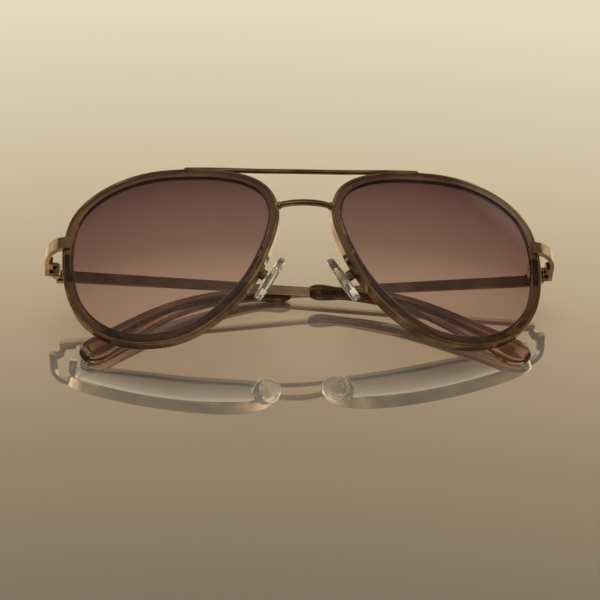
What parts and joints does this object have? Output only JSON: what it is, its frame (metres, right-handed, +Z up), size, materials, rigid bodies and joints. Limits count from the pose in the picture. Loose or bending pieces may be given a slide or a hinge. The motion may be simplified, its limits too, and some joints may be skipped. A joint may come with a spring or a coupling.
{
  "type": "aviator sunglasses",
  "caption": "Folded aviator sunglasses with a double bridge, metal eyewires around translucent inner rims, gradient lenses, hinged temples and tilting nose pads.",
  "frame": {"origin": "centre of the footprint on the table, under the folded pair as it lies", "axes": "+X to the wearer's left, along the front; +Z up from the table; the front leans back towards +Y"},
  "size_m": [0.149, 0.0516, 0.039],
  "materials": {
    "bronze_metal": "polished dark bronze plating",
    "screw_steel": "turned, bronze plated",
    "insert_steel": "stamped, bright",
    "brown_acetate": "polished translucent brown",
    "tip_acetate": "polished translucent warm brown",
    "lens_gradient": "gloss, gradient from dark brown above to light tan below",
    "clear_silicone": "clear, smooth"
  },
  "bodies": {
    "front": {"bridge": "bronze_metal", "closing_block_lower_left": "bronze_metal", "closing_block_lower_right": "bronze_metal", "closing_block_upper_left": "bronze_metal", "closing_block_upper_right": "bronze_metal", "endpiece_left": "bronze_metal", "endpiece_right": "bronze_metal", "hinge_front_leaf_left": "bronze_metal", "hinge_front_leaf_right": "bronze_metal", "hinge_screw_left": "screw_steel", "hinge_screw_right": "screw_steel", "inner_rim_left": "brown_acetate", "inner_rim_right": "brown_acetate", "lens_left": "lens_gradient", "lens_right": "lens_gradient", "pad_arm_left": "bronze_metal", "pad_arm_right": "bronze_metal", "pad_box_left": "bronze_metal", "pad_box_right": "bronze_metal", "pad_screw_left": "screw_steel", "pad_screw_right": "screw_steel", "rim_left": "bronze_metal", "rim_right": "bronze_metal", "rim_screw_left": "screw_steel", "rim_screw_right": "screw_steel", "top_bar": "bronze_metal"},
    "temple_left": {"hinge_temple_leaf_left": "bronze_metal", "temple_bar_left": "bronze_metal", "temple_tip_left": "tip_acetate"},
    "temple_right": {"hinge_temple_leaf_right": "bronze_metal", "temple_bar_right": "bronze_metal", "temple_tip_right": "tip_acetate"},
    "pad_left": {"nose_pad_left": "clear_silicone", "pad_insert_left": "insert_steel"},
    "pad_right": {"nose_pad_right": "clear_silicone", "pad_insert_right": "insert_steel"}
  },
  "joints": [
    {"name": "temple_left_hinge", "type": "hinge", "parent": "front", "child": "temple_left", "pos_m": [0.071, 0.0078, 0.01037], "axis": [-0.0278, -0.948, -0.3171], "range_deg": [0, 83.5]},
    {"name": "temple_right_hinge", "type": "hinge", "parent": "front", "child": "temple_right", "pos_m": [-0.07115, 0.0078, 0.01421], "axis": [0.0243, 0.948, 0.3172], "range_deg": [0, 86.7]},
    {"name": "pad_left_tilt", "type": "hinge", "parent": "front", "child": "pad_left", "pos_m": [0.01242, -0.00606, 0.02001], "axis": [-0.2212, -0.5755, 0.7874], "range_deg": [-8, 8]},
    {"name": "pad_right_tilt", "type": "hinge", "parent": "front", "child": "pad_right", "pos_m": [-0.01214, -0.00606, 0.02067], "axis": [0.2633, -0.5755, 0.7743], "range_deg": [-8, 8]}
  ]
}
